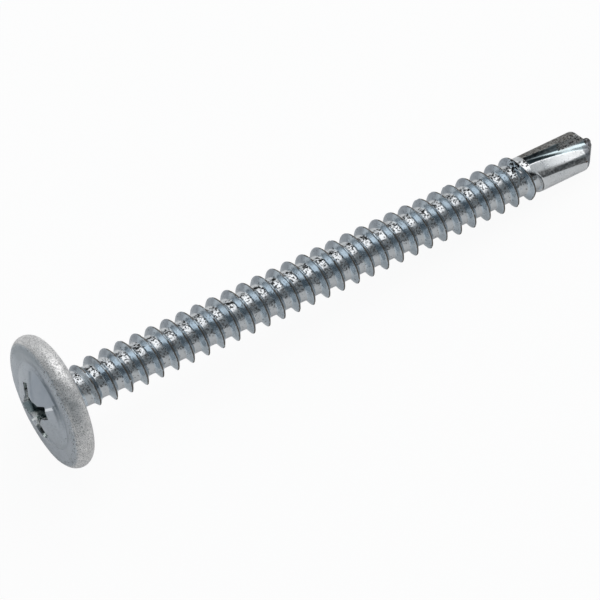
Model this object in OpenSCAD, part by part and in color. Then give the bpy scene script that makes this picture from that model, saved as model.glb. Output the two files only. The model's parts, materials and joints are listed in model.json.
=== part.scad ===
// Self drilling screw with a wide round head, a cross recess and a forged drill point
// Built along its own axis with the bearing face at zero and the point up, then laid on its side

/* [Head] */
// Diameter across the rim
head_diameter = 11.23; // [10:0.01:13]
// Thickness of the full round rim
rim_thickness = 1.89; // [1.4:0.01:2.4]
// Steps round the half circle of the rim
rim_steps = 12; // [6:1:16]
// How far the foot of the raised disc lies below the top of the rim
ring_dip = 0.14; // [0:0.01:0.3]
// Diameter at the top edge of the disc
disc_diameter = 7.18; // [6:0.01:8]
// Width of the slope round the disc
disc_bevel = 0.31; // [0.1:0.01:0.6]
// Height of the slope round the disc
disc_step = 0.32; // [0.1:0.01:0.6]
// Height of the dome over the top edge of the disc
dome_rise = 0.78; // [0.4:0.01:1.2]
// Width of the four raised arms that run from the recess to the edge of the disc
arm_width = 2; // [1:0.01:3]
// How far each arm is to one side of the middle
arm_side = 1.47; // [1:0.01:2]
// How far the arms stand over the disc between them
arm_rise = 0.1; // [0.02:0.01:0.2]
// Gap between the end of an arm and the edge of the disc
arm_gap = 0.04; // [0.02:0.01:0.3]
// Width of the cone under the head outside the thread
cone_margin = 0.2; // [0.05:0.01:0.6]
// Height of the cone under the head
cone_height = 0.75; // [0.3:0.01:0.9]

/* [Cross recess] */
// Width across two wings at the mouth
recess_span = 4.77; // [4:0.01:5.4]
// Width of a wing at the mouth
wing_width = 1.06; // [0.8:0.01:1.4]
// Distance of each inner corner from both middle lines of the wings
inner_corner = 0.88; // [0.75:0.01:1.1]
// Distance from the middle at which the side of a wing starts
wing_root = 1.3; // [1.15:0.01:1.6]
// Depth from the mouth to the floor
recess_depth = 2.55; // [1.8:0.01:3]
// Slope of the outer ends of the wings
wing_end_slope = 26.5; // [15:0.1:28]
// Slope of the sides of the wings
wing_side_slope = 3.5; // [1:0.1:5]
// Depth of the cone in the floor
floor_cone = 0.25; // [0.1:0.01:0.5]
// Turn of the recess about the axis
recess_turn = 15.7; // [0:0.1:90]

/* [Thread] */
// Distance between turns
pitch = 1.4; // [1.2:0.01:1.8]
// Diameter over the crests
thread_diameter = 4.1; // [3.8:0.01:4.6]
// Diameter of the core between the turns
root_diameter = 2.92; // [2.6:0.01:3.2]
// How much thicker the plain neck is than the core
neck_swell = 0.14; // [0:0.01:0.3]
// Length of the plain neck
neck_length = 2; // [1:0.01:3]
// Width of the flat on the crest
crest_width = 0.1; // [0.05:0.01:0.2]
// Width of a turn at its foot
ridge_width = 0.76; // [0.5:0.01:1]
// Distance from the bearing face to the start of the thread
first_crest = 1.057; // [0.8:0.001:1.5]
// How much smaller the worn first turn is across
first_turn_wear = 0.34; // [0.05:0.01:0.6]
// Distance over which the first turn rises, and then rises again to its whole height
first_turn_rise = 0.6; // [0.3:0.01:1]
// Length of the worn first turn
first_turn_length = 1.45; // [1.1:0.01:2]
// How much smaller the last turn is across
last_turn_wear = 0.16; // [0.02:0.01:0.4]
// Distance over which the last turns get smaller
run_out = 1.26; // [0.5:0.01:3]
// Whole turns
turns = 30; // [10:1:32]
// Steps in one turn
turn_steps = 24; // [16:1:24]
// Steps in the last part turn
end_steps = 8; // [4:1:12]

/* [Drill point] */
// Diameter of the drill body
drill_diameter = 3.44; // [3.1:0.01:3.8]
// How far the drill body is off the axis
drill_offset = 0.04; // [0:0.01:0.1]
// Length of the drill body from the last turn to the edge of the cone
drill_length = 5.7; // [5:0.01:8]
// Height of the cone
point_height = 1.34; // [1:0.01:1.8]
// Width of the rounded edge of the cone
edge_round = 0.12; // [0.05:0.01:0.2]
// Distance from the last turn to the far end of the slanted step where the last groove runs out
groove_run = 1.28; // [0.9:0.01:2]
// Slant of the step
step_slant = 42; // [30:0.1:50]
// Side on which the step is furthest along
step_side = 3; // [0:1:360]
// Distances from the edge of the cone back to the sections of the near flute
flute_stations = [5.26, 4.16, 2.76, 1.36, 0.66, -0.04, -0.84, -1.84];
// Direction of the edge of its flat wall at each of them
flute_lips = [214, 216, 222, 225, 225, 223, 221, 220];
// Distance of its floor from the axis at each of them
flute_floors = [1.42, 1.3, 1.1, 0.9, 0.76, 0.6, 0.47, 0.4];
// Direction of its floor at each of them
flute_sides = [216, 216, 217, 219, 223, 233, 252, 262];
// Direction of the edge of its curved wall at each of them
flute_heels = [244, 248, 254, 260, 265, 271, 281, 292];
// Length of the rounding in its floor
floor_round = 0.4; // [0.2:0.01:0.6]
// Radius of the burr on the tip
burr_radius = 0.37; // [0.2:0.01:0.5]
// Distance of the middle of the burr below the tip
burr_drop = 0.38; // [0.2:0.01:0.6]
// Distance of the burr from the axis
burr_offset = 0.28; // [0:0.01:0.4]
// Direction of the burr
burr_side = 185; // [0:1:360]

/* [Rest] */
// Side of the screw that faces down
down_side = 67; // [0:1:360]

/* [Hidden] */
steel = [0.72, 0.74, 0.77];
// Facets round the rim, the cone under the head and the drill body
rim_facets = 96;
cone_facets = 64;
drill_facets = 72;
dome_steps = 8;
// Heights over the bearing face
rim_radius = rim_thickness / 2;
rim_centre = head_diameter / 2 - rim_radius;
disc_foot = rim_thickness - ring_dip;
disc_edge = disc_foot + disc_step;
dome_height = disc_edge + dome_rise;
dome_radius = (pow(disc_diameter / 2, 2) + dome_rise * dome_rise) / (2 * dome_rise);
arm_base = disc_foot / 2;
arm_reach = disc_diameter / 2 - arm_gap;
mouth_height = dome_point(recess_span / 2);
recess_top = dome_rise;
// Distances below the bearing face
head_overlap = 0.5;
neck_diameter = root_diameter + neck_swell;
crest_count = turn_steps * turns + end_steps;
worn_end = first_crest + first_turn_length;
last_turn = first_crest + pitch * turns;
thread_end = first_crest + pitch * crest_count / turn_steps;
step_end = last_turn + groove_run;
core_end = step_end + 0.4;
point_start = last_turn + drill_length;
tip_length = point_start + point_height;
flute_margin = 0.9;
lip_station = 5;

// Height of the dome at a distance from the axis
function dome_point(r) = dome_height - dome_radius + sqrt(dome_radius * dome_radius - r * r);

function round_point(radius, angle, z) = [radius * cos(angle), radius * sin(angle), z];

function quad(a, b, c, d) = [[a, b, c], [a, c, d]];

// Outline of the head without the recess
function head_outline() = concat(
    [[0, 0], [rim_centre, 0]],
    [for (i = [1 : rim_steps]) let (a = -90 + 180 * i / rim_steps)
        [rim_centre + rim_radius * cos(a), rim_radius + rim_radius * sin(a)]],
    [[disc_diameter / 2 + disc_bevel, disc_foot]],
    [for (i = [0 : dome_steps]) let (r = disc_diameter / 2 * (1 - i / dome_steps)) [r, dome_point(r) - arm_rise]]
);

// The full dome, which shows on the four arms alone
function dome_outline() = concat(
    [[0, arm_base], [arm_reach, arm_base]],
    [for (i = [0 : dome_steps]) let (r = arm_reach * (1 - i / dome_steps)) [r, dome_point(r)]]
);

module head() {
    color(steel)
    mirror([0, 0, 1])
    difference() {
        union() {
            rotate_extrude($fn = rim_facets) polygon(head_outline());
            intersection() {
                rotate_extrude($fn = rim_facets) polygon(dome_outline());
                arms();
            }
        }
        rotate([0, 0, recess_turn]) recess();
    }
}

module arms() {
    for (a = [0 : 90 : 270]) rotate([0, 0, a])
        translate([arm_side - arm_width / 2, -disc_diameter / 2, disc_foot * 0.7])
            cube([arm_width, disc_diameter / 2, dome_height]);
}

// Cross section of the recess at a height over its mouth
function recess_ring(z) = let (
    tip = recess_span / 2 + z * tan(wing_end_slope),
    half = wing_width / 2 + z * tan(wing_side_slope),
    corner = inner_corner + 1.4 * z * tan(wing_side_slope),
    base = wing_root + 2.6 * z * tan(wing_side_slope)
) [for (q = [0 : 3]) for (p = [[tip, -half], [tip, half], [base, half], [corner, corner], [half, base]])
    [p.x * cos(90 * q) - p.y * sin(90 * q), p.x * sin(90 * q) + p.y * cos(90 * q), mouth_height + z]];

module recess() {
    top = recess_ring(recess_top);
    bottom = recess_ring(-recess_depth);
    n = len(top);
    points = concat(top, bottom, [
        [0, 0, mouth_height + recess_top],
        [0, 0, mouth_height - recess_depth - floor_cone]
    ]);
    polyhedron(points, concat(
        [for (i = [0 : n - 1]) let (j = (i + 1) % n) each quad(i, j, n + j, n + i)],
        [for (i = [0 : n - 1]) [2 * n, (i + 1) % n, i]],
        [for (i = [0 : n - 1]) [2 * n + 1, n + i, n + (i + 1) % n]]
    ));
}

module under_head() {
    wide = thread_diameter + 2 * cone_margin;
    color(steel) {
        translate([0, 0, -head_overlap]) cylinder(h = head_overlap, d = wide, $fn = cone_facets);
        cylinder(h = cone_height, d1 = wide, d2 = root_diameter - 0.02, $fn = cone_facets);
    }
}

// Radius of the core and of the crest at a distance from the bearing face
function core_radius(z) = lookup(z, [
    [neck_length, neck_diameter / 2],
    [neck_length + first_turn_rise, root_diameter / 2]
]);
function crest_radius(z) = lookup(z, [
    [first_crest, neck_diameter / 2],
    [first_crest + first_turn_rise, (thread_diameter - first_turn_wear) / 2],
    [worn_end, (thread_diameter - first_turn_wear) / 2],
    [worn_end + first_turn_rise, thread_diameter / 2],
    [last_turn - run_out, thread_diameter / 2],
    [last_turn, (thread_diameter - last_turn_wear) / 2],
    [thread_end, root_diameter / 2]
]);

// The threaded shank as one skin that follows the helix, four points to a turn
module shank() {
    n = turn_steps;
    m = crest_count;
    edges = [-ridge_width / 2, -crest_width / 2, crest_width / 2, ridge_width / 2];
    skin = [for (i = [0 : m]) for (k = [0 : 3]) let (
        crest = first_crest + pitch * i / n,
        r = (k == 0 || k == 3) ? core_radius(crest) : crest_radius(crest)
    ) round_point(r, 360 * i / n, crest + edges[k])];
    low = [for (i = [0 : n - 1]) round_point(neck_diameter / 2, 360 * i / n, -head_overlap / 2)];
    high = [for (i = [0 : n - 1]) round_point(root_diameter / 2, 360 * (m + i) / n, core_end)];
    s = 4 * (m + 1);
    e = s + n;
    points = concat(skin, low, high, [[0, 0, -head_overlap / 2], [0, 0, core_end]]);
    ridge = [for (i = [0 : m - 1]) for (k = [0 : 2])
        each quad(4 * i + k, 4 * i + k + 1, 4 * i + k + 5, 4 * i + k + 4)];
    grooves = [for (i = [0 : m - n - 1])
        each quad(4 * i + 3, 4 * (i + n), 4 * (i + n + 1), 4 * i + 7)];
    start = [for (i = [0 : n - 2]) each quad(s + i, 4 * i, 4 * i + 4, s + i + 1)];
    start_seam = [for (f = [[s + n - 1, s], [s, 0], [0, 1], [1, 2], [2, 3], [3, 4 * n]])
        [4 * (n - 1), f.y, f.x]];
    finish = [for (i = [1 : n - 1]) let (a = 4 * (m - n + i) + 3)
        each quad(a, e + i, e + (i + 1) % n, a + 4)];
    seam = 4 * (m - n + 1) + 3;
    finish_seam = [for (f = [[e + 1, e], [e, 4 * m + 3], [4 * m + 3, 4 * m + 2], [4 * m + 2, 4 * m + 1],
        [4 * m + 1, 4 * m], [4 * m, seam - 4]]) [seam, f.y, f.x]];
    caps = [for (i = [0 : n - 1]) each [
        [e + n, s + i, s + (i + 1) % n],
        [e + n + 1, e + (i + 1) % n, e + i]
    ]];
    color(steel)
    polyhedron(points, concat(ridge, grooves, start, start_seam, finish, finish_seam, caps));
}

// Body of the drill point, its upper end cut on a slant where the last groove runs out
module drill_body() {
    r = drill_diameter / 2;
    color(steel)
    difference() {
        translate([drill_offset, 0, 0])
        rotate_extrude($fn = drill_facets) polygon([
            [0, last_turn - crest_width - ridge_width / 2],
            [r, last_turn - crest_width - ridge_width / 2],
            [r, point_start - edge_round],
            [r - edge_round * 0.35, point_start],
            [r - edge_round * 1.4, point_start + edge_round * 0.7],
            [0, tip_length]
        ]);
        rotate([0, 0, step_side]) translate([r, 0, step_end]) rotate([0, -step_slant, 0])
            translate([-3 * r, -2 * r, -4 * r]) cube([5 * r, 4 * r, 4 * r]);
    }
}

// Cross section of a flute at one station, from outside the flat wall round the floor to the curved wall
function flute_ring(k) = let (
    bed = flute_floors[k] * [cos(flute_sides[k]), sin(flute_sides[k])],
    lip = drill_diameter / 2 * [cos(flute_lips[k]), sin(flute_lips[k])] - bed,
    heel = drill_diameter / 2 * [cos(flute_heels[k]), sin(flute_heels[k])] - bed,
    blend = min(floor_round, 0.7 * norm(lip), 0.7 * norm(heel)),
    a = bed + blend * lip / norm(lip),
    b = bed + blend * heel / norm(heel)
) [for (p = [
    bed + lip * (1 + flute_margin / norm(lip)),
    a,
    0.5625 * a + 0.375 * bed + 0.0625 * b,
    0.25 * a + 0.5 * bed + 0.25 * b,
    0.0625 * a + 0.375 * bed + 0.5625 * b,
    b,
    bed + heel * (1 + flute_margin / norm(heel))
]) [p.x, p.y, point_start - flute_stations[k]]];

module flute() {
    rings = [for (k = [0 : len(flute_stations) - 1]) flute_ring(k)];
    n = len(rings[0]);
    m = len(rings);
    points = [for (ring = rings) each ring];
    sides = [for (k = [0 : m - 2]) for (i = [0 : n - 1]) let (j = (i + 1) % n)
        each quad(n * k + j, n * (k + 1) + j, n * (k + 1) + i, n * k + i)];
    ends = [for (i = [1 : n - 2]) each [[0, i + 1, i], [n * (m - 1), n * (m - 1) + i, n * (m - 1) + i + 1]]];
    polyhedron(points, concat(sides, ends));
}

module burr() {
    color(steel)
    translate(round_point(burr_offset, burr_side, tip_length - burr_drop)) sphere(r = burr_radius, $fn = 24);
}

// Lays the screw on the rim of its head and on the two edges of the far flute at the cone
module lay_down() {
    lip = flute_lips[lip_station] - 180;
    rest_radius = drill_diameter / 2 * cos(down_side - lip) + drill_offset * cos(down_side);
    far = point_start - edge_round + rim_radius;
    high = rim_centre - rest_radius;
    dip = atan2(high, far) + asin(rim_radius / norm([far, high]));
    lift = rim_centre * cos(dip) + rim_radius - rim_radius * sin(dip);
    translate([(dome_height - tip_length) / 2 * cos(dip), 0, lift])
        rotate([0, 90 + dip, 0])
            rotate([0, 0, -down_side])
                children();
}

module screw() {
    lay_down() {
        difference() {
            union() {
                head();
                under_head();
                shank();
                drill_body();
            }
            color(steel) flute();
            color(steel) rotate([0, 0, 180]) flute();
        }
        burr();
    }
}

screw();
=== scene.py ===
import json
import math
from functools import partial
import bmesh
import bpy
from mathutils import Matrix, Vector, noise


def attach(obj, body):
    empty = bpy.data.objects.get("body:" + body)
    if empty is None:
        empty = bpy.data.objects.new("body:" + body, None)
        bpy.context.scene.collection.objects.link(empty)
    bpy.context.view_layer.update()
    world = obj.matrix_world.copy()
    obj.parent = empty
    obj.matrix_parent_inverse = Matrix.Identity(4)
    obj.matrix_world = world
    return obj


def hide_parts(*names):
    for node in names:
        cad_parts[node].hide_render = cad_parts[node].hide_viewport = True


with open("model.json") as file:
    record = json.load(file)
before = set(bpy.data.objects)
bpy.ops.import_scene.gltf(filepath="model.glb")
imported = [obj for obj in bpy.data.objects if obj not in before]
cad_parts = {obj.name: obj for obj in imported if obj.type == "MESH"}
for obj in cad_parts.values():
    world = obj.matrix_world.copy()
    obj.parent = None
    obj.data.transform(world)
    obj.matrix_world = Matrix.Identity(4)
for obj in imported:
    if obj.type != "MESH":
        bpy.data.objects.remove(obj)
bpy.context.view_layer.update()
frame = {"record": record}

# Sizes of the screw are in millimetres in its own frame: Z runs from the bearing face to the tip
rest = dict(
    downSide=67,  # degrees round the axis, the side that faces the floor
    mountRadius=3.5,  # the point given on the bearing face lies this far above the axis
    unit=0.001,  # metres in one millimetre
)


def screwMatrix():
    # from the screw's own frame in millimetres to the row's frame in metres
    mount = [m for m in frame["record"]["mounts"] if m["name"] == "bearing_face"][0]
    along = Vector(mount["axis"]).normalized()
    down = Vector((along.z, 0, -along.x))
    across = along.cross(down)
    turn = math.radians(rest["downSide"])
    first = down * math.cos(turn) - across * math.sin(turn)
    second = down * math.sin(turn) + across * math.cos(turn)
    turned = Matrix((first, second, along)).transposed().to_4x4()
    middle = Vector(mount["pos_m"]) + down * rest["mountRadius"] * rest["unit"]
    return Matrix.Translation(middle) @ turned @ Matrix.Scale(rest["unit"], 4)


toRow = screwMatrix()
scene = bpy.context.scene


def smoothStep(low, high, value):
    share = min(max((value - low) / (high - low), 0), 1)
    return share * share * (3 - 2 * share)


def labelOf(key):
    # "crestRadius" becomes "Crest Radius"
    return "".join(" " + letter if letter.isupper() else letter for letter in key).title()


def linkObject(name, mesh):
    made = bpy.data.objects.new(name, mesh)
    scene.collection.objects.link(made)
    return made


def closedObject(name, points, faces, weld=0.0005):
    # a new object whose doubles are merged and whose faces point outwards
    mesh = bpy.data.meshes.new(name)
    mesh.from_pydata(points, [], faces)
    shape = bmesh.new()
    shape.from_mesh(mesh)
    bmesh.ops.remove_doubles(shape, verts=shape.verts, dist=weld)
    bmesh.ops.recalc_face_normals(shape, faces=shape.faces)
    shape.to_mesh(mesh)
    shape.free()
    return linkObject(name, mesh)


def loftFaces(ringCount, size):
    # quads between rings of the same size, and a fan to a point at both ends
    faces = []
    for ring in range(ringCount - 1):
        near = ring * size
        far = near + size
        for i in range(size):
            j = (i + 1) % size
            faces.append((near + i, near + j, far + j, far + i))
    startPoint = ringCount * size
    lastRing = (ringCount - 1) * size
    for i in range(size):
        j = (i + 1) % size
        faces.append((startPoint, j, i))
        faces.append((startPoint + 1, lastRing + i, lastRing + j))
    return faces


def loftObject(name, rings, ends=None):
    # without ends, each fan goes to the middle of its ring
    if ends is None:
        ends = [tuple(sum(values) / len(ring) for values in zip(*ring)) for ring in (rings[0], rings[-1])]
    points = [p for ring in rings for p in ring]
    return closedObject(name, points + ends, loftFaces(len(rings), len(rings[0])))


def ballObject(name, subdivisions, radius, place):
    ball = bmesh.new()
    bmesh.ops.create_icosphere(ball, subdivisions=subdivisions, radius=radius)
    ball.transform(place)
    mesh = bpy.data.meshes.new(name)
    ball.to_mesh(mesh)
    ball.free()
    return linkObject(name, mesh)


def applyModifiers(made):
    # the evaluated shape takes the place of the object's mesh, and its modifiers go
    bpy.context.view_layer.update()
    ready = made.evaluated_get(bpy.context.evaluated_depsgraph_get())
    mesh = bpy.data.meshes.new_from_object(ready)
    old = made.data
    made.modifiers.clear()
    made.data = mesh
    bpy.data.meshes.remove(old)
    return made


def combine(made, other, operation):
    step = made.modifiers.new(operation.title(), "BOOLEAN")
    step.operation = operation
    step.solver = "MANIFOLD"
    step.object = other
    applyModifiers(made)
    bpy.data.objects.remove(other)
    return made


# Thread, made by a node tree that has an input for each of these
thread = dict(
    pitch=1.4,
    crestRadius=2.05,
    rootRadius=1.46,
    neckRadius=1.53,
    neckEnd=2.0,  # distance from the bearing face
    firstCrest=1.057,
    firstTurnRadius=1.88,  # the first turn is worn
    firstTurnEnd=2.5,
    rise=0.6,
    lastTurnStart=43.05,
    lastTurn=43.65,
    lastTurnRadius=1.73,
    threadEnd=43.97,
    bend=0.28,  # the last turn is pressed towards the tip here
    bendStart=42.55,
    bendEnd=43.04,
    bendRise=0.22,
    bendFall=0.16,
    bendInner=0.3,  # from the crest, the bend fades between these shares of half a pitch
    bendOuter=0.9,
    turnsBefore=0.9,  # plain turns of the skin inside the head
    turnsInAll=32.4,
    stepsPerTurn=66,
    profilePoints=19,
    spread=1.5,  # over 1 draws the points of the profile towards the crest
    unevenness=0.014,
    bumpScale=2.6,
    bumpDetail=3.0,
    bumpSeed=4.0,
    nickDepth=0.05,  # how deep the crests are nicked
    nickScale=1.6,
    nickDetail=2.0,
    nickStart=0.56,  # the noise at which a nick starts, and at which it is full
    nickFull=0.7,
    nickPower=3.0,  # over 1 keeps the nicks to the crest
    nickSeed=9.0,
    weldDistance=0.002,
)
# height of the thread from its crest to the middle of its root
threadProfile = [
    (0, 1), (0.06, 0.965), (0.12, 0.84), (0.3, 0.47), (0.48, 0.12), (0.58, 0.03), (0.72, 0), (1, 0),
]


def feedAll(tree, node, values):
    # a link to each of the inputs from a socket, or the input's own value
    pairs = values.items() if isinstance(values, dict) else enumerate(values)
    for key, value in pairs:
        if isinstance(value, bpy.types.NodeSocket):
            tree.links.new(value, node.inputs[key])
        else:
            node.inputs[key].default_value = value


def addNode(tree, kind, values=(), **settings):
    node = tree.nodes.new(kind)
    for key, value in settings.items():
        setattr(node, key, value)
    feedAll(tree, node, values)
    return node


def mathNode(tree, operation, first, second=0.0, third=0.0):
    return addNode(tree, "ShaderNodeMath", (first, second, third), operation=operation).outputs[0]


def mapRange(tree, value, low, high, start=0.0, end=1.0, kind="SMOOTHSTEP"):
    values = (value, low, high, start, end)
    return addNode(tree, "ShaderNodeMapRange", values, interpolation_type=kind).outputs[0]


def curveThrough(tree, value, spots, straight=False):
    node = addNode(tree, "ShaderNodeFloatCurve", {"Value": value})
    curve = node.mapping.curves[0]
    curve.points[0].location = spots[0]
    curve.points[1].location = spots[-1]
    for spot in spots[1:-1]:
        added = curve.points.new(*spot)
        if straight:
            added.handle_type = "VECTOR"
    node.mapping.update()
    return node.outputs[0]


def noiseNode(tree, place, scale, detail, **more):
    # a seed is given as W, which makes the noise four-dimensional
    values = {"Vector": place, "Scale": scale, "Detail": detail, **more}
    size = "4D" if "W" in more else "3D"
    return addNode(tree, "ShaderNodeTexNoise", values, noise_dimensions=size).outputs[0]


def bendShare(tree, crestAt, sizes):
    # how far the last turn is pressed forwards, where its crest is at this place
    start, end, riseLength, fallLength = sizes
    rise = mapRange(tree, crestAt, start, mathNode(tree, "ADD", start, riseLength))
    fall = mapRange(tree, crestAt, mathNode(tree, "SUBTRACT", end, fallLength), end, 1.0, 0.0)
    return mathNode(tree, "MULTIPLY", rise, fall)


def placeAround(tree, radius, angle, along):
    x = mathNode(tree, "MULTIPLY", radius, mathNode(tree, "COSINE", angle))
    y = mathNode(tree, "MULTIPLY", radius, mathNode(tree, "SINE", angle))
    return addNode(tree, "ShaderNodeCombineXYZ", (x, y, along)).outputs[0]


def crestRadiusAt(tree, given, crestAt):
    # the crest rises from the neck, is worn for one turn, and falls again at the drill point
    calc = partial(mathNode, tree)
    neck = given["Neck Radius"]
    worn = given["First Turn Radius"]
    full = given["Crest Radius"]
    last = given["Last Turn Radius"]
    firstEnd = calc("ADD", given["First Crest"], given["Rise"])
    firstRise = mapRange(tree, crestAt, given["First Crest"], firstEnd)
    nextEnd = calc("ADD", given["First Turn End"], given["Rise"])
    nextRise = mapRange(tree, crestAt, given["First Turn End"], nextEnd)
    shrink = mapRange(tree, crestAt, given["Last Turn Start"], given["Last Turn"])
    fall = mapRange(tree, crestAt, given["Last Turn"], given["Thread End"], kind="LINEAR")
    crest = calc("MULTIPLY_ADD", firstRise, calc("SUBTRACT", worn, neck), neck)
    crest = calc("MULTIPLY_ADD", nextRise, calc("SUBTRACT", full, worn), crest)
    crest = calc("SUBTRACT", crest, calc("MULTIPLY", shrink, calc("SUBTRACT", full, last)))
    return calc("SUBTRACT", crest, calc("MULTIPLY", fall, calc("SUBTRACT", last, given["Root Radius"])))


def threadTree(inputs, material):
    tree = bpy.data.node_groups.new("screwThread", "GeometryNodeTree")
    for name, value in inputs.items():
        kind = "NodeSocketInt" if isinstance(value, int) else "NodeSocketFloat"
        tree.interface.new_socket(name, in_out="INPUT", socket_type=kind)
    tree.interface.new_socket("Geometry", in_out="OUTPUT", socket_type="NodeSocketGeometry")
    given = addNode(tree, "NodeGroupInput").outputs
    calc = partial(mathNode, tree)

    # a flat grid, its long side along the turns and its short side along one pitch
    steps = calc("ROUND", calc("MULTIPLY", given["Turns In All"], given["Steps Per Turn"]))
    realTurns = calc("DIVIDE", steps, given["Steps Per Turn"])
    grid = addNode(tree, "GeometryNodeMeshGrid", {
        "Vertices X": calc("ADD", steps, 1.0), "Vertices Y": given["Profile Points"],
        "Size X": realTurns, "Size Y": 2.0,
    })
    place = addNode(tree, "ShaderNodeSeparateXYZ", addNode(tree, "GeometryNodeInputPosition").outputs[:1])
    turn = calc("ADD", place.outputs["X"], calc("MULTIPLY", realTurns, 0.5))
    turn = calc("SUBTRACT", turn, given["Turns Before"])
    side = place.outputs["Y"]

    # distance from the crest along the axis, and along the screw
    share = calc("POWER", calc("ABSOLUTE", side), given["Spread"])
    halfPitch = calc("MULTIPLY", given["Pitch"], 0.5)
    offset = calc("MULTIPLY", calc("MULTIPLY", share, calc("SIGN", side)), halfPitch)
    crestAt = calc("MULTIPLY_ADD", turn, given["Pitch"], given["First Crest"])
    bendSizes = [given[name] for name in ("Bend Start", "Bend End", "Bend Rise", "Bend Fall")]
    bend = calc("MULTIPLY", bendShare(tree, crestAt, bendSizes), given["Bend"])
    bend = calc("MULTIPLY", bend, mapRange(tree, share, given["Bend Inner"], given["Bend Outer"], 1.0, 0.0))
    along = calc("ADD", calc("ADD", crestAt, offset), bend)
    angle = calc("MULTIPLY", turn, math.tau)

    # the form of one turn stands on the root, which is thicker at the neck
    thin = mapRange(tree, along, given["Neck End"], calc("ADD", given["Neck End"], given["Rise"]))
    thinner = calc("SUBTRACT", given["Neck Radius"], given["Root Radius"])
    root = calc("SUBTRACT", given["Neck Radius"], calc("MULTIPLY", thin, thinner))
    form = curveThrough(tree, share, threadProfile)
    height = calc("MULTIPLY", calc("SUBTRACT", crestRadiusAt(tree, given, crestAt), root), form)
    radius = calc("ADD", root, height)

    # uneven steel, from a noise that goes both ways from a half, with nicks in its crests
    spot = placeAround(tree, radius, angle, along)
    bumps = noiseNode(tree, spot, given["Bump Scale"], given["Bump Detail"], W=given["Bump Seed"])
    lift = calc("MULTIPLY", calc("SUBTRACT", bumps, 0.5), given["Unevenness"])
    radius = calc("ADD", radius, calc("MULTIPLY", lift, 2.0))
    nicks = noiseNode(tree, spot, given["Nick Scale"], given["Nick Detail"], W=given["Nick Seed"])
    nick = mapRange(tree, nicks, given["Nick Start"], given["Nick Full"])
    nick = calc("MULTIPLY", nick, given["Nick Depth"])
    nick = calc("MULTIPLY", nick, calc("POWER", form, given["Nick Power"]))
    radius = calc("SUBTRACT", radius, nick)

    made = grid.outputs["Mesh"]
    for kind, values in (
        ("GeometryNodeSetPosition", {"Position": placeAround(tree, radius, angle, along)}),
        ("GeometryNodeMergeByDistance", {"Distance": given["Weld Distance"]}),
        ("GeometryNodeRealizeInstances", {}),
        ("GeometryNodeSetMaterial", {"Material": material}),
    ):
        made = addNode(tree, kind, {"Geometry": made, **values}).outputs[0]
    addNode(tree, "NodeGroupOutput", (made,))
    return tree


def makeThread(material):
    made = linkObject("threadSkin", bpy.data.meshes.new("threadSkin"))
    inputs = {labelOf(key): value for key, value in thread.items()}
    nodes = made.modifiers.new("Thread", "NODES")
    nodes.node_group = threadTree(inputs, material)
    for item in nodes.node_group.interface.items_tree:
        if item.in_out == "INPUT":
            nodes[item.identifier] = inputs[item.name]
    applyModifiers(made)
    # the two ends of the skin lie inside the head and the drill point, and are closed there
    shape = bmesh.new()
    shape.from_mesh(made.data)
    edges = [e for e in shape.edges if e.is_boundary]
    filled = bmesh.ops.holes_fill(shape, edges=edges, sides=0)
    bmesh.ops.triangulate(shape, faces=filled["faces"])
    bmesh.ops.recalc_face_normals(shape, faces=shape.faces)
    shape.to_mesh(made.data)
    shape.free()
    return made


# Head: a full round rim, a dished ring and a raised disc with four arms
head = dict(
    radius=5.615,
    rimRadius=0.945,
    discFootRadius=3.76,
    discFootHeight=1.76,
    discRadius=3.5,
    discEdgeHeight=2.07,
    domeHeight=2.85,
    armInner=0.4,  # distance of an arm's straight edge from the middle
    armOuter=[1.2, 1.1, 1.1, 1.05],  # where the flared edge of each arm starts, and how fast it flares
    armFlare=[0.45, 0.4, 0.4, 0.3],
    armRise=0.1,
    armEdge=0.12,  # width of the slope at the straight edge of an arm
    armFade=0.4,  # and at the flared edge
    armEnd=0.16,  # and at the edge of the disc
    filletRadius=2.25,  # where the curve under the head meets the bearing face
    filletHeight=0.75,
    filletSteps=8,
    neckOverlap=0.04,  # the curve ends this far inside the neck
    steps=240,
    discRings=56,
    dishRings=4,
    dishStart=-0.6,  # below 0 the dish already slopes where it starts
    rimSteps=22,
    unevenness=0.012,
    waves=[(1, 0.55), (0.5, 1.7)],  # share and scale of each wave of unevenness
    waveHeights=(-0.5, 0.3),  # from even to uneven
)


def domeHeightAt(r):
    rise = head["domeHeight"] - head["discEdgeHeight"]
    bow = (head["discRadius"] ** 2 + rise ** 2) / (2 * rise)
    return head["domeHeight"] - bow + math.sqrt(bow ** 2 - r * r)


def armShare(x, y):
    # 1 on the four arms, 0 between them, with a short slope at their sides
    best = 0
    inner = head["armInner"]
    edge = head["armEdge"] / 2
    fade = head["armFade"] / 2
    for start, flare in zip(head["armOuter"], head["armFlare"]):
        outer = start - flare * y
        side = smoothStep(inner - edge, inner + edge, x) * (1 - smoothStep(outer - fade, outer + fade, x))
        best = max(best, side * smoothStep(-edge, edge, -y))
        x, y = y, -x
    rim = head["discRadius"]
    return best * (1 - smoothStep(rim - head["armEnd"], rim, math.hypot(x, y)))


def topHeight(x, y):
    r = math.hypot(x, y)
    if r <= head["discRadius"]:
        return domeHeightAt(r) - head["armRise"] * (1 - armShare(x, y))
    share = smoothStep(head["discRadius"], head["discFootRadius"], r)
    edge = domeHeightAt(head["discRadius"]) - head["armRise"]
    return edge + (head["discFootHeight"] - edge) * share


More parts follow.
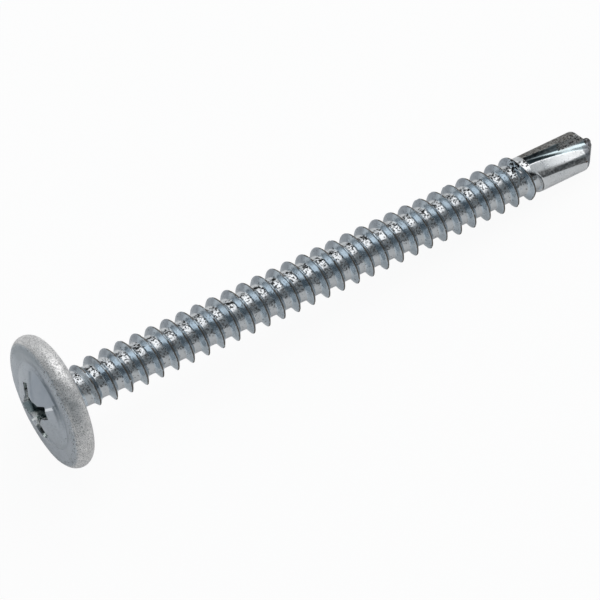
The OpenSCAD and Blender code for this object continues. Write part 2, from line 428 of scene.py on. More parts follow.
def headProfile():
    # radius and height of each ring, from the middle of the top over the rim to the neck
    foot = head["discFootRadius"]
    footHeight = head["discFootHeight"]
    rimMiddle = head["radius"] - head["rimRadius"]
    profile = [(foot * k / head["discRings"], None) for k in range(1, head["discRings"] + 1)]
    for k in range(1, head["dishRings"]):
        share = k / head["dishRings"]
        height = footHeight + (2 * head["rimRadius"] - footHeight) * smoothStep(head["dishStart"], 1, share)
        profile.append((foot + (rimMiddle - foot) * share, height))
    for k in range(head["rimSteps"] + 1):
        a = math.pi / 2 - math.pi * k / head["rimSteps"]
        profile.append((rimMiddle + head["rimRadius"] * math.cos(a), head["rimRadius"] * (1 + math.sin(a))))
    for k in range(head["filletSteps"] + 1):
        # a hollow curve from the bearing face to the neck
        a = math.pi / 2 * k / head["filletSteps"]
        wider = (head["filletRadius"] - thread["neckRadius"]) * (1 - math.sin(a))
        r = thread["neckRadius"] - head["neckOverlap"] + wider
        profile.append((r, -head["filletHeight"] * (1 - math.cos(a))))
    return profile


def makeHead():
    steps = head["steps"]
    profile = headProfile()
    points = []
    for r, h in profile:
        for i in range(steps):
            a = math.tau * i / steps
            x = r * math.cos(a)
            y = r * math.sin(a)
            height = topHeight(x, y) if h is None else h
            spot = Vector((x, y, height))
            wave = sum(share * noise.noise(spot * scale) for share, scale in head["waves"])
            push = head["unevenness"] * wave * smoothStep(*head["waveHeights"], height)
            wider = 1 + push / head["radius"]
            points.append((x * wider, y * wider, -height - push))
    points.append((0, 0, -topHeight(0, 0)))
    points.append((0, 0, head["filletHeight"]))
    return closedObject("headShape", points, loftFaces(len(profile), steps))


def cornerArc(start, corner, end, steps):
    shares = [k / steps for k in range(steps + 1)]
    return [start * (1 - s) ** 2 + corner * 2 * s * (1 - s) + end * s ** 2 for s in shares]


# Cross recess
recess = dict(
    span=4.77,
    wingWidth=1.06,
    innerCorner=0.88,
    wingRoot=1.3,
    mouthHeight=2.5,
    depth=2.5,
    wingEndSlope=26.5,
    wingSideSlope=3.5,
    cornerLean=1.4,  # how much faster than a wing's side its corners draw in with depth
    rootLean=2.6,
    floorCone=0.2,
    turn=15.7,
    above=0.9,
    levels=[0, -0.9, -1.8, -2.35, -2.5],
    floorInset=[0, 0, 0, 0.02, 0.12],
    cornerRound=0.09,
    cornerMost=0.45,  # the largest share of a side that a round corner takes
    cornerSteps=4,
)


def roundedOutline(points):
    # each corner becomes a short arc
    outline = []
    count = len(points)
    for i, corner in enumerate(points):
        before = points[i - 1] - corner
        after = points[(i + 1) % count] - corner
        most = recess["cornerMost"]
        cut = min(recess["cornerRound"], before.length * most, after.length * most)
        start = corner + before.normalized() * cut
        end = corner + after.normalized() * cut
        outline += cornerArc(start, corner, end, recess["cornerSteps"])
    return outline


def recessRing(z, inset):
    lean = z * math.tan(math.radians(recess["wingSideSlope"]))
    tip = recess["span"] / 2 + z * math.tan(math.radians(recess["wingEndSlope"])) - inset
    half = recess["wingWidth"] / 2 + lean - inset
    corner = recess["innerCorner"] + recess["cornerLean"] * lean - inset
    base = recess["wingRoot"] + recess["rootLean"] * lean - inset
    outline = []
    for quarter in range(4):
        turn = Matrix.Rotation(math.radians(90 * quarter + recess["turn"]), 2)
        for spot in ((tip, -half), (tip, half), (base, half), (corner, corner), (half, base)):
            outline.append(turn @ Vector(spot))
    height = recess["mouthHeight"] + z
    return [(p.x, p.y, -height) for p in roundedOutline(outline)]


def makeRecess():
    rings = [recessRing(recess["above"], 0)]
    rings += [recessRing(z, inset) for z, inset in zip(recess["levels"], recess["floorInset"])]
    mouth = -recess["mouthHeight"]
    ends = [(0, 0, mouth - recess["above"]), (0, 0, mouth + recess["depth"] + recess["floorCone"])]
    return loftObject("recessShape", rings, ends)


# Drill point: a pinched body with two flutes and a cone
drill = dict(
    radius=1.72,
    offset=0.04,
    start=42.45,
    steps=96,
    stepSides=[262, 266, 270, 278, 287, 300, 322, 345, 390, 430, 455],  # the end of the last groove
    stepEnds=[42.3, 43.1, 43.45, 43.75, 43.9, 44.08, 44.23, 44.28, 43.9, 43.2, 42.3],
    stepDepth=1.2,  # how near the axis the groove's end wall goes, and how it leans
    stepLean=0.7,
    stepSpacing=3,  # degrees between its sections
    stepReach=1.5,  # how far out its cutter goes, in radii, and how far back
    stepBack=1,
    coneStart=48.76,
    tip=50.1,
    tipRadius=0.01,
    edgeRound=0.12,
    edgeProfile=[(0, -1), (0.35, 0), (1.4, 0.7)],  # inwards and forwards, in times the edge round
    stations=[43.5, 44.6, 46.0, 47.4, 48.1, 48.8, 49.6, 50.6],
    lips=[217, 221, 224, 225, 225, 223, 221, 220],
    floors=[1.36, 1.22, 1.09, 0.96, 0.82, 0.64, 0.45, 0.4],
    floorSides=[216, 217, 218, 218, 220, 228, 252, 262],
    heels=[248, 247, 250, 260, 269, 279, 287, 292],
    heelDepths=[0.02, 0.25, 0.55, 0.72, 0.7, 0.64, 0.56, 0.46],
    pinch=[0, 0.4, 0.8, 1, 1, 1, 1, 1],  # share of the land's depth at each station
    floorRound=0.85,
    floorMost=0.7,  # the largest share of a wall that the round floor takes
    floorSteps=8,
    lipPoint=0.75,  # a point of the flat wall, between the floor and the lip
    margin=0.9,
    outerCorners=[(362, 1), (320, 1.6), (280, 1.6), (245, 1.6)],  # sides, and reach in margins
    landSides=[295, 305, 315, 329, 344, 359],  # where the outside of the pinched body is given
    landDepths=[0.45, 0.33, 0.26, 0.15, 0.06, 0.01],
    landMargin=0.08,
    ringSpacing=0.12,
    voxel=0.054,
    softShare=0.5,
    softRounds=2,
    bandTurn=5.5,  # how far the painted dark band on the land turns, in degrees round the axis for each millimetre along it
    fingerEnds=[(1.66, 212, 42.75), (1.56, 243, 43.66)],  # distance from the axis, side and place
    fingerWidth=0.32,
    fingerDivisions=3,
    burrDivisions=4,
    burrRadius=0.37,
    burrAt=(-0.279, -0.024, 49.72),
)


def between(values, where):
    # a smooth value between the stations
    stations = drill["stations"]
    if where <= stations[0]:
        return values[0]
    if where >= stations[-1]:
        return values[-1]
    k = max(i for i in range(len(stations) - 1) if stations[i] <= where)
    share = (where - stations[k]) / (stations[k + 1] - stations[k])
    before = values[max(k - 1, 0)]
    after = values[min(k + 2, len(values) - 1)]
    low, high = values[k], values[k + 1]
    return low + 0.5 * share * (high - before + share * (
        2 * before - 5 * low + 4 * high - after + share * (3 * (low - high) + after - before)))


def polar(radius, degrees):
    turn = math.radians(degrees)
    return Vector((radius * math.cos(turn), radius * math.sin(turn)))


def fluteRing(z):
    # the steel pressed away on one side, from the edge of the flat wall round to the far side of the land
    bed = polar(between(drill["floors"], z), between(drill["floorSides"], z))
    lip = polar(drill["radius"], between(drill["lips"], z)) - bed
    heelPlace = polar(drill["radius"] - between(drill["heelDepths"], z), between(drill["heels"], z))
    heel = heelPlace - bed
    blend = min(drill["floorRound"], drill["floorMost"] * lip.length, drill["floorMost"] * heel.length)
    start = bed + lip.normalized() * blend
    end = bed + heel.normalized() * blend
    beyond = bed + lip.normalized() * (lip.length + drill["margin"])
    ring = [beyond, bed + lip, bed + lip * drill["lipPoint"]]
    ring += cornerArc(start, bed, end, drill["floorSteps"])
    ring.append(heelPlace)
    pinch = between(drill["pinch"], z)
    clear = drill["radius"] + drill["landMargin"]
    for side, depth in zip(drill["landSides"], drill["landDepths"]):
        ring.append(polar(clear - (depth + drill["landMargin"]) * pinch, side))
    for side, reach in drill["outerCorners"]:
        ring.append(polar(drill["radius"] + drill["margin"] * reach, side))
    return [(p.x, p.y, z) for p in ring]


def makeFlute(turn):
    span = drill["stations"][-1] - drill["stations"][0]
    count = round(span / drill["ringSpacing"])
    rings = [fluteRing(drill["stations"][0] + span * k / count) for k in range(count + 1)]
    made = loftObject("fluteShape", rings)
    made.data.transform(Matrix.Rotation(math.radians(turn), 4, "Z"))
    return made


def stepAt(degrees):
    # where the last groove ends on this side of the axis
    sides = drill["stepSides"]
    ends = drill["stepEnds"]
    if degrees <= sides[0] or degrees >= sides[-1]:
        return min(ends)
    k = max(i for i, side in enumerate(sides) if side <= degrees)
    share = (degrees - sides[k]) / (sides[k + 1] - sides[k])
    return ends[k] + (ends[k + 1] - ends[k]) * share


def cutFlutes(made):
    for turn in (0, 180):
        combine(made, makeFlute(turn), "DIFFERENCE")
    return made


def makeStep():
    # the steel taken away at the end of the last groove
    rings = []
    inner = drill["stepDepth"]
    outer = drill["stepReach"] * drill["radius"]
    low = drill["start"] - drill["stepBack"]
    for degrees in range(drill["stepSides"][0], drill["stepSides"][-1] + 1, drill["stepSpacing"]):
        end = stepAt(degrees)
        ring = []
        for r, z in ((inner, low), (outer, low), (outer, end), (inner, end)):
            lean = (r - drill["radius"]) * drill["stepLean"] if z > low else 0
            ring.append((*polar(r, degrees), z + lean))
        rings.append(ring)
    return loftObject("stepShape", rings)


def drillBody():
    # a round body with a cone, a little off the axis
    r = drill["radius"]
    edge = drill["edgeRound"]
    outline = [(r, drill["start"])]
    for inwards, onwards in drill["edgeProfile"]:
        outline.append((r - edge * inwards, drill["coneStart"] + edge * onwards))
    outline.append((drill["tipRadius"], drill["tip"]))
    angles = [math.tau * i / drill["steps"] for i in range(drill["steps"])]
    rings = [[(drill["offset"] + r * math.cos(a), r * math.sin(a), z) for a in angles] for r, z in outline]
    return loftObject("drillShape", rings)


def makeFinger():
    # a long drop of steel between its two ends
    start, end = [Vector((*polar(r, side), z)) for r, side, z in drill["fingerEnds"]]
    lie = (end - start).to_track_quat("Z", "X").to_matrix().to_4x4()
    width = drill["fingerWidth"] / 2
    size = Matrix.Diagonal((width, width, (end - start).length / 2, 1))
    place = Matrix.Translation((start + end) / 2) @ lie @ size
    return ballObject("fingerShape", drill["fingerDivisions"], 1, place)


def makeDrill():
    body = cutFlutes(combine(drillBody(), makeStep(), "DIFFERENCE"))
    place = Matrix.Translation(drill["burrAt"])
    combine(body, ballObject("burrShape", drill["burrDivisions"], drill["burrRadius"], place), "UNION")
    combine(body, makeFinger(), "UNION")
    net = body.modifiers.new("Net", "REMESH")
    net.mode = "VOXEL"
    net.voxel_size = drill["voxel"]
    soft = body.modifiers.new("Soft", "SMOOTH")
    soft.factor = drill["softShare"]
    soft.iterations = drill["softRounds"]
    return applyModifiers(body)


# Finishes: zinc plate, with its own grain, tints and stains on each part of the screw, and painted shade and
# painted highlights on some parts
def mixColour(tree, share, first, second):
    # a single number is a grey
    values = {0: share}
    for place, value in ((6, first), (7, second)):
        if isinstance(value, float):
            value = (value, value, value)
        values[place] = (*value, 1) if isinstance(value, tuple) else value
    return addNode(tree, "ShaderNodeMix", values, data_type="RGBA").outputs[2]


def mixValue(tree, share, first, second):
    return addNode(tree, "ShaderNodeMix", {0: share, 2: first, 3: second}, data_type="FLOAT").outputs[0]


def distanceFromCrest(group, along, side):
    # millimetres along the axis to the nearest crest, with the bend of the last turn
    calc = partial(mathNode, group)
    first = thread["firstCrest"]
    pitch = thread["pitch"]
    bendAt = thread["bendStart"]
    lastTurn = math.floor((bendAt - first) / pitch)
    before, after = [first + pitch * (lastTurn + step) for step in (0, 1)]
    crestAt = mapRange(group, side, 0.0, 360.0, before, after, "LINEAR")
    bendSizes = [thread[key] for key in ("bendStart", "bendEnd", "bendRise", "bendFall")]
    bend = calc("MULTIPLY", bendShare(group, crestAt, bendSizes), thread["bend"])
    flank = 0.15  # the flank of the last turn starts this far before the bend
    bend = calc("MULTIPLY", bend, calc("GREATER_THAN", along, bendAt - flank))
    straight = calc("SUBTRACT", calc("SUBTRACT", along, bend), first)
    turns = calc("SUBTRACT", calc("DIVIDE", straight, pitch), calc("DIVIDE", side, 360.0))
    return calc("MULTIPLY", calc("PINGPONG", turns, 0.5), pitch)


def distanceFromStep(group, along, side):
    # millimetres past the end of the last groove, on the sides up to 360 degrees
    lowest = min(drill["stepEnds"])
    tall = max(drill["stepEnds"]) - lowest
    ends = zip(drill["stepSides"], drill["stepEnds"])
    seen = [(spot / 360, (end - lowest) / tall) for spot, end in ends if spot < 360]
    spots = [(0, 0), *seen, (1, seen[-1][1])]
    curve = curveThrough(group, mathNode(group, "DIVIDE", side, 360.0), spots, straight=True)
    return mathNode(group, "SUBTRACT", along, mathNode(group, "MULTIPLY_ADD", curve, tall, lowest))


def placeGroup():
    # where a point is on the screw: millimetres along and from the axis, and degrees round it
    group = bpy.data.node_groups.new("screwPlace", "ShaderNodeTree")
    calc = partial(mathNode, group)
    shift, turn, size = toRow.decompose()
    back = addNode(group, "ShaderNodeMapping", {
        "Vector": addNode(group, "ShaderNodeTexCoord").outputs["Object"],
        "Location": shift, "Rotation": turn.to_euler(), "Scale": size,
    }, vector_type="TEXTURE")
    x, y, along = addNode(group, "ShaderNodeSeparateXYZ", back.outputs[:1]).outputs
    radius = calc("SQRT", calc("MULTIPLY_ADD", x, x, calc("MULTIPLY", y, y)))
    side = calc("FLOORED_MODULO", calc("DEGREES", calc("ARCTAN2", y, x)), 360.0)
    fromEnd = calc("SUBTRACT", along, max(drill["stepEnds"]))
    values = {
        "Place": back.outputs[0],
        "Radius": radius,
        "Side": side,
        "Along": along,
        "From Crest": distanceFromCrest(group, along, side),
        # the side turned along the land, which the painted dark band follows
        "Band Side": calc("MULTIPLY_ADD", fromEnd, -drill["bandTurn"], side),
        "From Step": distanceFromStep(group, along, side),
    }
    for name in values:
        kind = "NodeSocketVector" if name == "Place" else "NodeSocketFloat"
        group.interface.new_socket(name, in_out="OUTPUT", socket_type=kind)
    addNode(group, "NodeGroupOutput", values)
    return group


# Each finish has two tints mixed by a cloud of that scale, a roughness from smooth to rough, and a grain
# with its share of the tint and its depth in millimetres. A tint of one number is a grey. Layers whose
# comment says painted shade, painted shadow, painted highlight or painted reflection are that; the others
# are stains and wear of the plate. A layer lies between the limits it gives, and soft says how wide its
# borders are. Its noise has
# that grain: share is how much of it shows as spots, and even makes it one patch instead, which is that
# strong where the noise is low. A later layer lies on top of the earlier ones.
looks = dict(
    rimZinc=dict(
        dull=(0.56, 0.55, 0.545), pale=(0.93, 0.905, 0.89), cloud=1.5, metal=0.9, smooth=0.38, rough=0.5,
        grain=11.0, grainShare=0.6, depth=0.02,
        stainsAndPaintedLight=dict(
            specks=dict(grain=11.5, share=0.36, tint=(0.4, 0.39, 0.385), rough=0.55, depth=0.012),
            glints=dict(grain=9.0, share=0.2, tint=(0.66, 0.65, 0.63), rough=0.4, depth=-0.004),
        ),
    ),
    discZinc=dict(
        dull=(0.4, 0.43, 0.46), pale=(0.52, 0.545, 0.58), cloud=0.8, metal=0.95, smooth=0.3, rough=0.45,
        grain=5.0, grainShare=0.25, depth=0.012,
        stainsAndPaintedLight=dict(
            edge=dict(radius=(4.6, 6.0), grain=8.0, share=0.3, tint=0.16, rough=0.6, depth=0.015),
            specks=dict(grain=9.0, share=0.12, tint=(0.14, 0.15, 0.16), rough=0.6, depth=0.01),
            # painted shade: the quadrant of the disc between two arms, darker and bluer
            leaf=dict(
                side=(216, 276), radius=(1.3, 3.55), grain=1.2, even=0.75,
                soft=dict(side=(10, 1.5), radius=(0.4, 0.1)), tint=(0.365, 0.4, 0.445), rough=0.3),
            # painted highlight: a near white strip along the straight edge of one arm
            armEdge=dict(
                side=(277.5, 281.5), radius=(2.3, 3.45), grain=4.0, even=0.85,
                soft=dict(side=0.7, radius=0.15), tint=(0.88, 0.9, 0.93), rough=0.25),
            frost=dict(
                radius=(5.0, 9.0), soft=dict(radius=0.55), grain=10.0, share=0.8, tint=(0.76, 0.745, 0.73),
                rough=0.4),
            frostSpecks=dict(
                radius=(4.9, 9.0), soft=dict(radius=0.5), grain=12.0, share=0.42, tint=(0.33, 0.325, 0.32),
                rough=0.6, depth=0.012),
            # painted shade: the dished ring darker and bluer on one side
            dusk=dict(
                side=(168, 238), radius=(3.8, 5.2), grain=1.5, even=0.75, soft=dict(side=12.0, radius=0.35),
                tint=(0.33, 0.36, 0.385), rough=0.4),
        ),
    ),
    recessZinc=dict(
        dull=(0.6, 0.68, 0.68), pale=(0.9, 0.92, 0.89), cloud=1.6, metal=1.0, smooth=0.12, rough=0.34,
        grain=2.2, grainShare=0.5, depth=0.08,
        stainsAndPaintedLight=dict(
            # painted shade: dark spots all over the recess
            soot=dict(grain=3.0, share=0.3, tint=0.05, rough=0.6, depth=0.02),
            # painted shade: the deeper part of the recess dark teal
            deep=dict(along=(-2.05, 2.0), grain=3.0, even=0.7, tint=(0.045, 0.07, 0.075), rough=0.35),
            # painted shade: one wing of the recess nearly black
            lowWingShade=dict(
                side=(18, 46), radius=(1.35, 2.2), along=(-2.62, 0.0), grain=3.0, even=0.8, tint=0.02,
                rough=0.6),
            # painted shade: near black spots in the upper wing of the recess
            highWingShade=dict(
                side=(168, 184), radius=(1.36, 1.98), grain=4.5, share=0.62, tint=0.02, rough=0.6),
            # painted highlight: a near white patch on a wing wall near the mouth
            paintedGlint=dict(
                side=(66, 96), radius=(1.2, 1.85), along=(-2.8, -2.2), grain=3.0, even=0.9,
                tint=(1.0, 1.0, 0.99), rough=0.65),
            # painted highlights: the inner corners of the recess near its mouth, near white
            cornerHighlights=dict(
                radius=(1.0, 1.72), along=(-2.9, -2.34), grain=3.0, even=0.6,
                soft=dict(radius=0.06, along=0.05), tint=(0.97, 0.97, 0.96), rough=0.5),
        ),
    ),
    threadZinc=dict(
        dull=(0.46, 0.52, 0.57), pale=(0.58, 0.63, 0.67), cloud=1.1, metal=1.0, smooth=0.15, rough=0.28,
        grain=5.0, grainShare=0.35, depth=0.008,
        stainsAndPaintedLight=dict(
            root=dict(fromCrest=(0.4, 0.8), grain=3.0, share=0.95, tint=(0.54, 0.55, 0.56), rough=0.3),
            # painted highlight: the root of the thread paler on these sides
            rootHighlight=dict(
                side=(196, 236), fromCrest=(0.36, 0.8), grain=3.0, even=0.8, tint=(0.72, 0.73, 0.74),
                rough=0.3),
            # painted shade: the flanks of the thread darker and bluer on these sides
            farFlankShade=dict(
                side=(120, 210), fromCrest=(-0.1, 0.42), grain=3.0, even=0.8, soft=dict(side=9.0),
                tint=(0.29, 0.315, 0.345), rough=0.3),
            pits=dict(
                side=(208, 240), fromCrest=(0.36, 0.8), grain=3.8, share=0.4, tint=0.03, rough=0.7,
                depth=0.05),
            finePits=dict(
                side=(204, 262), fromCrest=(0.3, 0.8), grain=7.0, share=0.36, tint=0.08, rough=0.6,
                depth=0.03),
            mottle=dict(
                side=(258, 302), fromCrest=(0.3, 0.8), grain=6.5, share=0.42, tint=0.2, rough=0.55,
                depth=0.02),
            specks=dict(grain=7.0, share=0.14, tint=0.1, rough=0.6, depth=0.015),
            crest=dict(
                side=(256, 366), fromCrest=(-0.1, 0.075), grain=3.5, share=0.88, tint=(0.15, 0.135, 0.12),
                rough=0.5, depth=0.005),
            # a dark line along the crests on these sides; with the crest layer above, only the crests
            # between 244 and 256 degrees keep the plate's colour
            darkCrestLine=dict(
                side=(200, 244), fromCrest=(-0.1, 0.07), grain=4.0, share=0.78, tint=(0.16, 0.145, 0.13),
                rough=0.5, depth=0.005),
            flakes=dict(
                side=(212, 250), along=(42.0, 42.9), grain=4.2, share=0.5, tint=0.02, rough=0.7, depth=0.08),
            # painted shadow: the end of the last groove nearly black on these sides
            hollow=dict(
                side=(268, 285), fromStep=(-0.6, 0.3), along=(43.15, 44.0), grain=2.5, even=0.8, tint=0.03,
                rough=0.6),
            dent=dict(
                side=(268, 282), along=(42.25, 42.75), grain=3.0, share=0.6, tint=(0.05, 0.045, 0.045),
                rough=0.6, depth=0.03),
        ),
    ),
    fluteZinc=dict(
        dull=(0.41, 0.48, 0.5), pale=(0.5, 0.57, 0.59), cloud=1.0, metal=1.0, smooth=0.16, rough=0.26,
        grain=6.0, grainShare=0.3, depth=0.004,
        stainsAndPaintedLight=dict(
            # painted shade: the flat wall of each flute nearly black
            rake=dict(
                side=(200, 226), radius=(0.9, 1.9), along=(43.2, 47.4), grain=2.0, even=0.8,
                soft=dict(along=0.5), tint=(0.04, 0.045, 0.05), rough=0.5),
            rakeEnd=dict(
                side=(180, 236), radius=(0.8, 1.9), along=(46.9, 50.0), grain=4.0, even=0.7,
                soft=dict(along=0.3, side=8.0), tint=(0.44, 0.42, 0.4), rough=0.6),
            rakeSpots=dict(
                side=(180, 236), radius=(0.8, 1.9), along=(46.6, 50.0), grain=7.0, share=0.4,
                tint=(0.12, 0.115, 0.11), rough=0.7, depth=0.03),
            # painted reflection: the heel wall of each flute dark teal
            heel=dict(
                side=(226, 262), radius=(1.0, 1.9), along=(43.2, 45.4), grain=2.0, even=0.9,
                soft=dict(along=0.8), tint=(0.05, 0.08, 0.095), rough=0.3),
            end=dict(
                side=(258, 335), along=(48.78, 51.0), grain=4.0, even=0.7, soft=dict(along=0.05),
                tint=(0.2, 0.21, 0.225), rough=0.5),
        ),
    ),
    drillZinc=dict(
        dull=(0.58, 0.59, 0.6), pale=0.7, cloud=1.0, metal=0.95, smooth=0.27, rough=0.4, grain=8.0,
        grainShare=0.3, depth=0.01,
        stainsAndPaintedLight=dict(
            specks=dict(grain=11.0, share=0.13, tint=0.25, rough=0.5, depth=0.006),
            # painted reflection: a dark band along the land, where it mirrors the dark surroundings
            band=dict(
                bandSide=(278, 300), along=(43.9, 48.7), grain=5.0, even=0.75,
                soft=dict(bandSide=(6.0, 1.2), along=0.15), tint=0.12, rough=0.4),
            # painted shade: a dark line just before the end of the last groove
            step=dict(
                fromStep=(-0.07, 0.0), side=(268, 352), grain=3.0, even=0.7, tint=(0.1, 0.1, 0.105),
                rough=0.5),
            # painted shadow: the floor before the end of the last groove nearly black
            stepShadow=dict(
                fromStep=(-0.55, -0.08), side=(268, 285), grain=3.0, even=0.8,
                soft=dict(side=3.0, fromStep=0.08), tint=0.03, rough=0.6),
            # painted highlight: a near white line just past the end of the last groove
            stepHighlight=dict(
                fromStep=(0.03, 0.12), side=(264, 302), grain=3.0, even=0.8, tint=0.9, rough=0.25),
            flakes=dict(
                side=(216, 256), along=(42.2, 43.7), grain=4.6, share=0.4, tint=0.02, rough=0.7, depth=0.08),
            flash=dict(
                side=(180, 231), along=(43.4, 50.4), radius=(1.55, 2.0), grain=4.0, even=0.75,
                soft=dict(side=(6.0, 2.0)), tint=(0.2, 0.19, 0.175), rough=0.65),
            flashPits=dict(
                side=(180, 230), along=(43.4, 50.4), radius=(1.5, 2.0), grain=6.0, share=0.4,
                tint=(0.07, 0.065, 0.06), rough=0.7, depth=0.04),
            cone=dict(
                along=(48.66, 51.0), soft=dict(along=0.06), grain=2.4, even=0.75, tint=(0.2, 0.205, 0.22),
                rough=0.45),
            coneSpots=dict(
                along=(48.95, 51.0), grain=4.5, share=0.52, tint=(0.07, 0.065, 0.06), rough=0.6, depth=0.03),
            rust=dict(
                side=(317, 327), along=(48.2, 48.75), grain=5.0, share=0.5, tint=(0.16, 0.08, 0.045),
                rough=0.8, depth=0.02),
        ),
    ),
)

# how wide the borders of a layer are where it doesn't say, in degrees and millimetres
softness = dict(side=6.0, along=0.12, fromCrest=0.03, radius=0.05, bandSide=3.0, fromStep=0.03)

layerShape = dict(
    detail=4.0,
    distortion=0.4,
    thinning=0.7,  # how fast the spots get fewer towards the limits
    middle=0.5,
    spread=0.45,  # how far the noise reaches to either side of its middle
    spotEdge=0.03,
    evenNoise=(0.35, 0.6),
)

cloudShape = dict(
    detail=3.0,
    distortion=0.6,
    grainDetail=4.0,
    noise=(0.35, 0.65),
)


def rangeMask(tree, value, limits, soft):
    # soft is one width for both borders, or a width for each
    first, last = soft if isinstance(soft, tuple) else (soft, soft)
    rise = mapRange(tree, value, limits[0] - first, limits[0] + first)
    fall = mapRange(tree, value, limits[1] - last, limits[1] + last, 1.0, 0.0)
    return mathNode(tree, "MULTIPLY", rise, fall)


def layerMask(tree, where, layer):
    # spots of noise, as many as the share asks, that get fewer towards the limits of the layer
    calc = partial(mathNode, tree)
    spots = noiseNode(tree, where.outputs["Place"], layer["grain"], layerShape["detail"],
                      Distortion=layerShape["distortion"])
    even = 1.0
    for name, usual in softness.items():
        if name in layer:
            soft = layer.get("soft", {}).get(name, usual)
            inside = rangeMask(tree, where.outputs[labelOf(name)], layer[name], soft)
            spots = calc("MULTIPLY_ADD", calc("SUBTRACT", inside, 1.0), layerShape["thinning"], spots)
            even = calc("MULTIPLY", even, inside)
    if "even" in layer:
        return calc("MULTIPLY", even, mapRange(tree, spots, *layerShape["evenNoise"], layer["even"], 1.0))
    middle = layerShape["middle"]
    level = middle + (middle - layer["share"]) * layerShape["spread"]
    return mapRange(tree, spots, level - layerShape["spotEdge"], level + layerShape["spotEdge"])


def zincMaterial(name, look, group):
    made = bpy.data.materials.new(name)
    made.use_nodes = True
    tree = made.node_tree
    skin = tree.nodes["Principled BSDF"]
    where = addNode(tree, "ShaderNodeGroup", node_tree=group)
    place = where.outputs["Place"]
    cloud = noiseNode(tree, place, look["cloud"], cloudShape["detail"], Distortion=cloudShape["distortion"])
    cloud = mapRange(tree, cloud, *cloudShape["noise"])
    grain = noiseNode(tree, place, look["grain"], cloudShape["grainDetail"])
    tone = mixValue(tree, look["grainShare"], cloud, mapRange(tree, grain, *cloudShape["noise"]))
    colour = mixColour(tree, tone, look["dull"], look["pale"])
    roughness = mixValue(tree, cloud, look["smooth"], look["rough"])
    height = mathNode(tree, "MULTIPLY", grain, look["depth"])
    for layer in look["stainsAndPaintedLight"].values():
        mask = layerMask(tree, where, layer)
        colour = mixColour(tree, mask, colour, layer["tint"])
        roughness = mixValue(tree, mask, roughness, layer["rough"])
        if "depth" in layer:
            height = mathNode(tree, "SUBTRACT", height, mathNode(tree, "MULTIPLY", mask, layer["depth"]))
    bump = addNode(tree, "ShaderNodeBump", {"Height": height, "Distance": rest["unit"]}).outputs[0]
    metal = look["metal"]
    feedAll(tree, skin, {"Base Color": colour, "Metallic": metal, "Roughness": roughness, "Normal": bump})
    return made


screwPlace = placeGroup()
finishes = {name: zincMaterial(name, look, screwPlace) for name, look in looks.items()}

borders = dict(
    # where one finish gives way to the next
    headEnd=0.3,  # distance past the bearing face
    wallDepth=0.04,  # a face this far below the round outside is a wall of a flute
    coneWallDepth=0.1,  # and on the cone
    fluteEnd=0.5,  # how far the flutes' finish goes past the start of the cone
    beforeLip=4,  # degrees
    crestHeight=0.1,  # a face this far above the drill's outside is still thread
    beforeStep=0.1,
    belowDisc=0.05,  # how deep and how wide past its wings the recess has its own finish
    pastWings=0.05,
    discHeight=1.6,
    discRadius=5.33,
    sharpAngle=38,  # edges steeper than this are drawn sharp
)


def outsideAt(z):
    # anything nearer the axis than this is a wall of a flute
    if z < drill["coneStart"]:
        return drill["radius"] - borders["wallDepth"]
    left = (drill["tip"] - z) / (drill["tip"] - drill["coneStart"])
    return drill["radius"] * left - borders["coneWallDepth"]


def isFluteWall(r, side, z):
    if not drill["stations"][0] < z < drill["coneStart"] + borders["fluteEnd"]:
        return False
    lip = between(drill["lips"], z) - 180
    heel = between(drill["heels"], z) - 180
    return lip - borders["beforeLip"] < side % 180 < heel and r < outsideAt(z)


def finishOf(spot):
    # which of the finishes a face takes, from its place in the screw's own frame
    r = math.hypot(spot.x, spot.y)
    height = -spot.z
    if height < -borders["headEnd"]:
        side = math.degrees(math.atan2(spot.y, spot.x)) % 360
        if isFluteWall(r, side, spot.z):
            return "fluteZinc"
        end = stepAt(side if side > drill["stepSides"][0] else side + 360)
        crest = r > drill["radius"] + borders["crestHeight"] and spot.z < thread["threadEnd"]
        onDrill = spot.z > max(end - borders["beforeStep"], drill["start"]) and not crest
        return "drillZinc" if onDrill else "threadZinc"
    inWings = r < recess["span"] / 2 + borders["pastWings"]
    if inWings and height < topHeight(spot.x, spot.y) - borders["belowDisc"]:
        return "recessZinc"
    return "discZinc" if height > borders["discHeight"] and r < borders["discRadius"] else "rimZinc"


def makeScrew():
    skin = cutFlutes(makeThread(finishes["threadZinc"]))
    print("thread", len(skin.data.polygons))
    crown = makeHead()
    print("head", len(crown.data.polygons))
    point = makeDrill()
    print("drill", len(point.data.polygons))
    made = combine(crown, skin, "UNION")
    made = combine(made, point, "UNION")
    made = combine(made, makeRecess(), "DIFFERENCE")
    made.name = "screwPiece"
    made.data.name = "screwPiece"
    made.data.materials.clear()
    for finish in finishes.values():
        made.data.materials.append(finish)
    order = list(finishes)
    for face in made.data.polygons:
        face.material_index = order.index(finishOf(face.center))
        face.use_smooth = True
    made.data.set_sharp_from_angle(angle=math.radians(borders["sharpAngle"]))
    made.data.transform(toRow)
    return made


screw = makeScrew()
triangles = sum(len(face.vertices) - 2 for face in screw.data.polygons)
print("screw", len(screw.data.polygons), "faces", triangles, "triangles")
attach(screw, "root")
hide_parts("screw")

# Floor, lights and camera
stage = dict(
    floorSize=2.0,
    floorColour=(0.9, 0.9, 0.9, 1),
    paleShare=0.94,  # how much of the floor's white doesn't come from the lamps
    pale=1.0,
    mirrored=0.28,  # the same share where metal mirrors the floor
    surroundings=(0.17, 0.2, 0.22, 1),
)


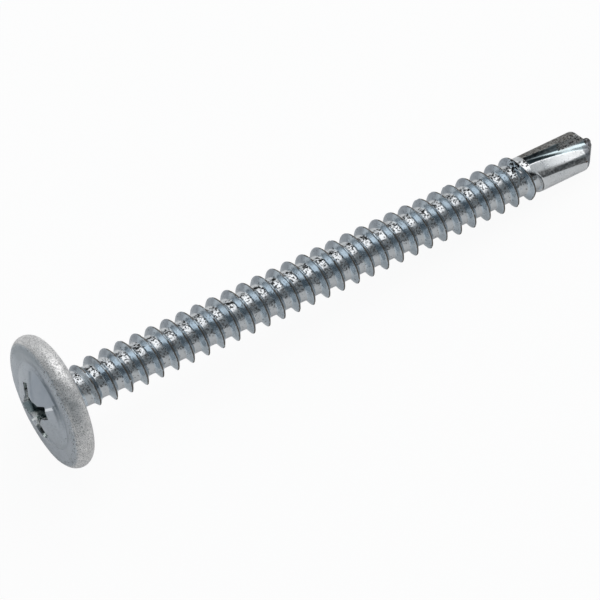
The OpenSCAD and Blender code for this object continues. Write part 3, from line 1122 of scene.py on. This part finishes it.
def floorPaint():
    paint = bpy.data.materials.new("paleFloor")
    paint.use_nodes = True
    tree = paint.node_tree
    tree.nodes.clear()
    matt = addNode(tree, "ShaderNodeBsdfDiffuse", {"Color": stage["floorColour"]}).outputs[0]
    glow = addNode(tree, "ShaderNodeEmission", {"Strength": stage["pale"]}).outputs[0]
    rays = addNode(tree, "ShaderNodeLightPath").outputs
    bounced = mathNode(tree, "MAXIMUM", rays["Is Glossy Ray"], rays["Is Transmission Ray"])
    mirrored = mathNode(tree, "MULTIPLY", bounced, stage["mirrored"])
    seen = mathNode(tree, "MULTIPLY_ADD", rays["Is Camera Ray"], stage["paleShare"], mirrored)
    mixed = addNode(tree, "ShaderNodeMixShader", (seen, matt, glow)).outputs[0]
    addNode(tree, "ShaderNodeOutputMaterial", (mixed,))
    return paint


def makeFloor():
    half = stage["floorSize"] / 2
    mesh = bpy.data.meshes.new("floor")
    corners = [(-half, -half, 0), (half, -half, 0), (half, half, 0), (-half, half, 0)]
    mesh.from_pydata(corners, [], [(0, 1, 2, 3)])
    mesh.materials.append(floorPaint())
    linkObject("floor", mesh)


lamps = dict(
    # degrees round the object, height in degrees, distance, length along the screw and depth in metres
    mainSoftbox=dict(azimuth=40, height=55, distance=0.6, length=1.1, depth=0.52, bright=1.75),
    backCard=dict(azimuth=95, height=25, distance=0.6, length=1.3, depth=0.34, bright=0.72),
    lowCard=dict(azimuth=-60, height=8, distance=0.6, length=1.3, depth=0.16, bright=0.6),
)


def makeLamp(name, lamp):
    light = bpy.data.lights.new(name, "AREA")
    light.shape = "RECTANGLE"
    light.size = lamp["length"]
    light.size_y = lamp["depth"]
    light.energy = lamp["bright"] * math.pi * lamp["length"] * lamp["depth"]
    made = linkObject(name, light)
    flat = math.radians(lamp["azimuth"])
    up = math.radians(lamp["height"])
    place = Vector((math.cos(flat) * math.cos(up), math.sin(flat) * math.cos(up), math.sin(up)))
    along = (Vector((1, 0, 0)) - place * place.x).normalized()
    turned = Matrix((along, place.cross(along), place)).transposed()
    made.matrix_world = Matrix.Translation(place * lamp["distance"]) @ turned.to_4x4()


def makeWorld():
    world = bpy.data.worlds.new("studio")
    world.use_nodes = True
    world.node_tree.nodes["Background"].inputs["Color"].default_value = stage["surroundings"]
    scene.world = world


camera = dict(
    # places in the screw's own frame, in millimetres
    eye=(1.22, -285.5, -83.94),
    aim=(1.22, 0, 21.165),
    tilt=25.647,  # degrees, how steeply the screw climbs in the picture
    lens=229.36,
    near=0.01,  # metres
    far=5,
)


def makeCamera():
    lensData = bpy.data.cameras.new("camera")
    lensData.lens = camera["lens"]
    lensData.clip_start = camera["near"]
    lensData.clip_end = camera["far"]
    made = linkObject("camera", lensData)
    eye = toRow @ Vector(camera["eye"])
    ahead = ((toRow @ Vector(camera["aim"])) - eye).normalized()
    along = (toRow.to_3x3() @ Vector((0, 0, 1))).normalized()
    level = (along - ahead * along.dot(ahead)).normalized()
    up = level.cross(ahead)
    right = ahead.cross(up)
    tilt = Matrix.Rotation(math.radians(-camera["tilt"]), 3, "Z")
    turned = Matrix((right, up, -ahead)).transposed() @ tilt
    made.matrix_world = Matrix.Translation(eye) @ turned.to_4x4()
    scene.camera = made


makeFloor()
for lampName, lamp in lamps.items():
    makeLamp(lampName, lamp)
makeWorld()
makeCamera()
scene.view_settings.view_transform = "Standard"
print("stage ready")
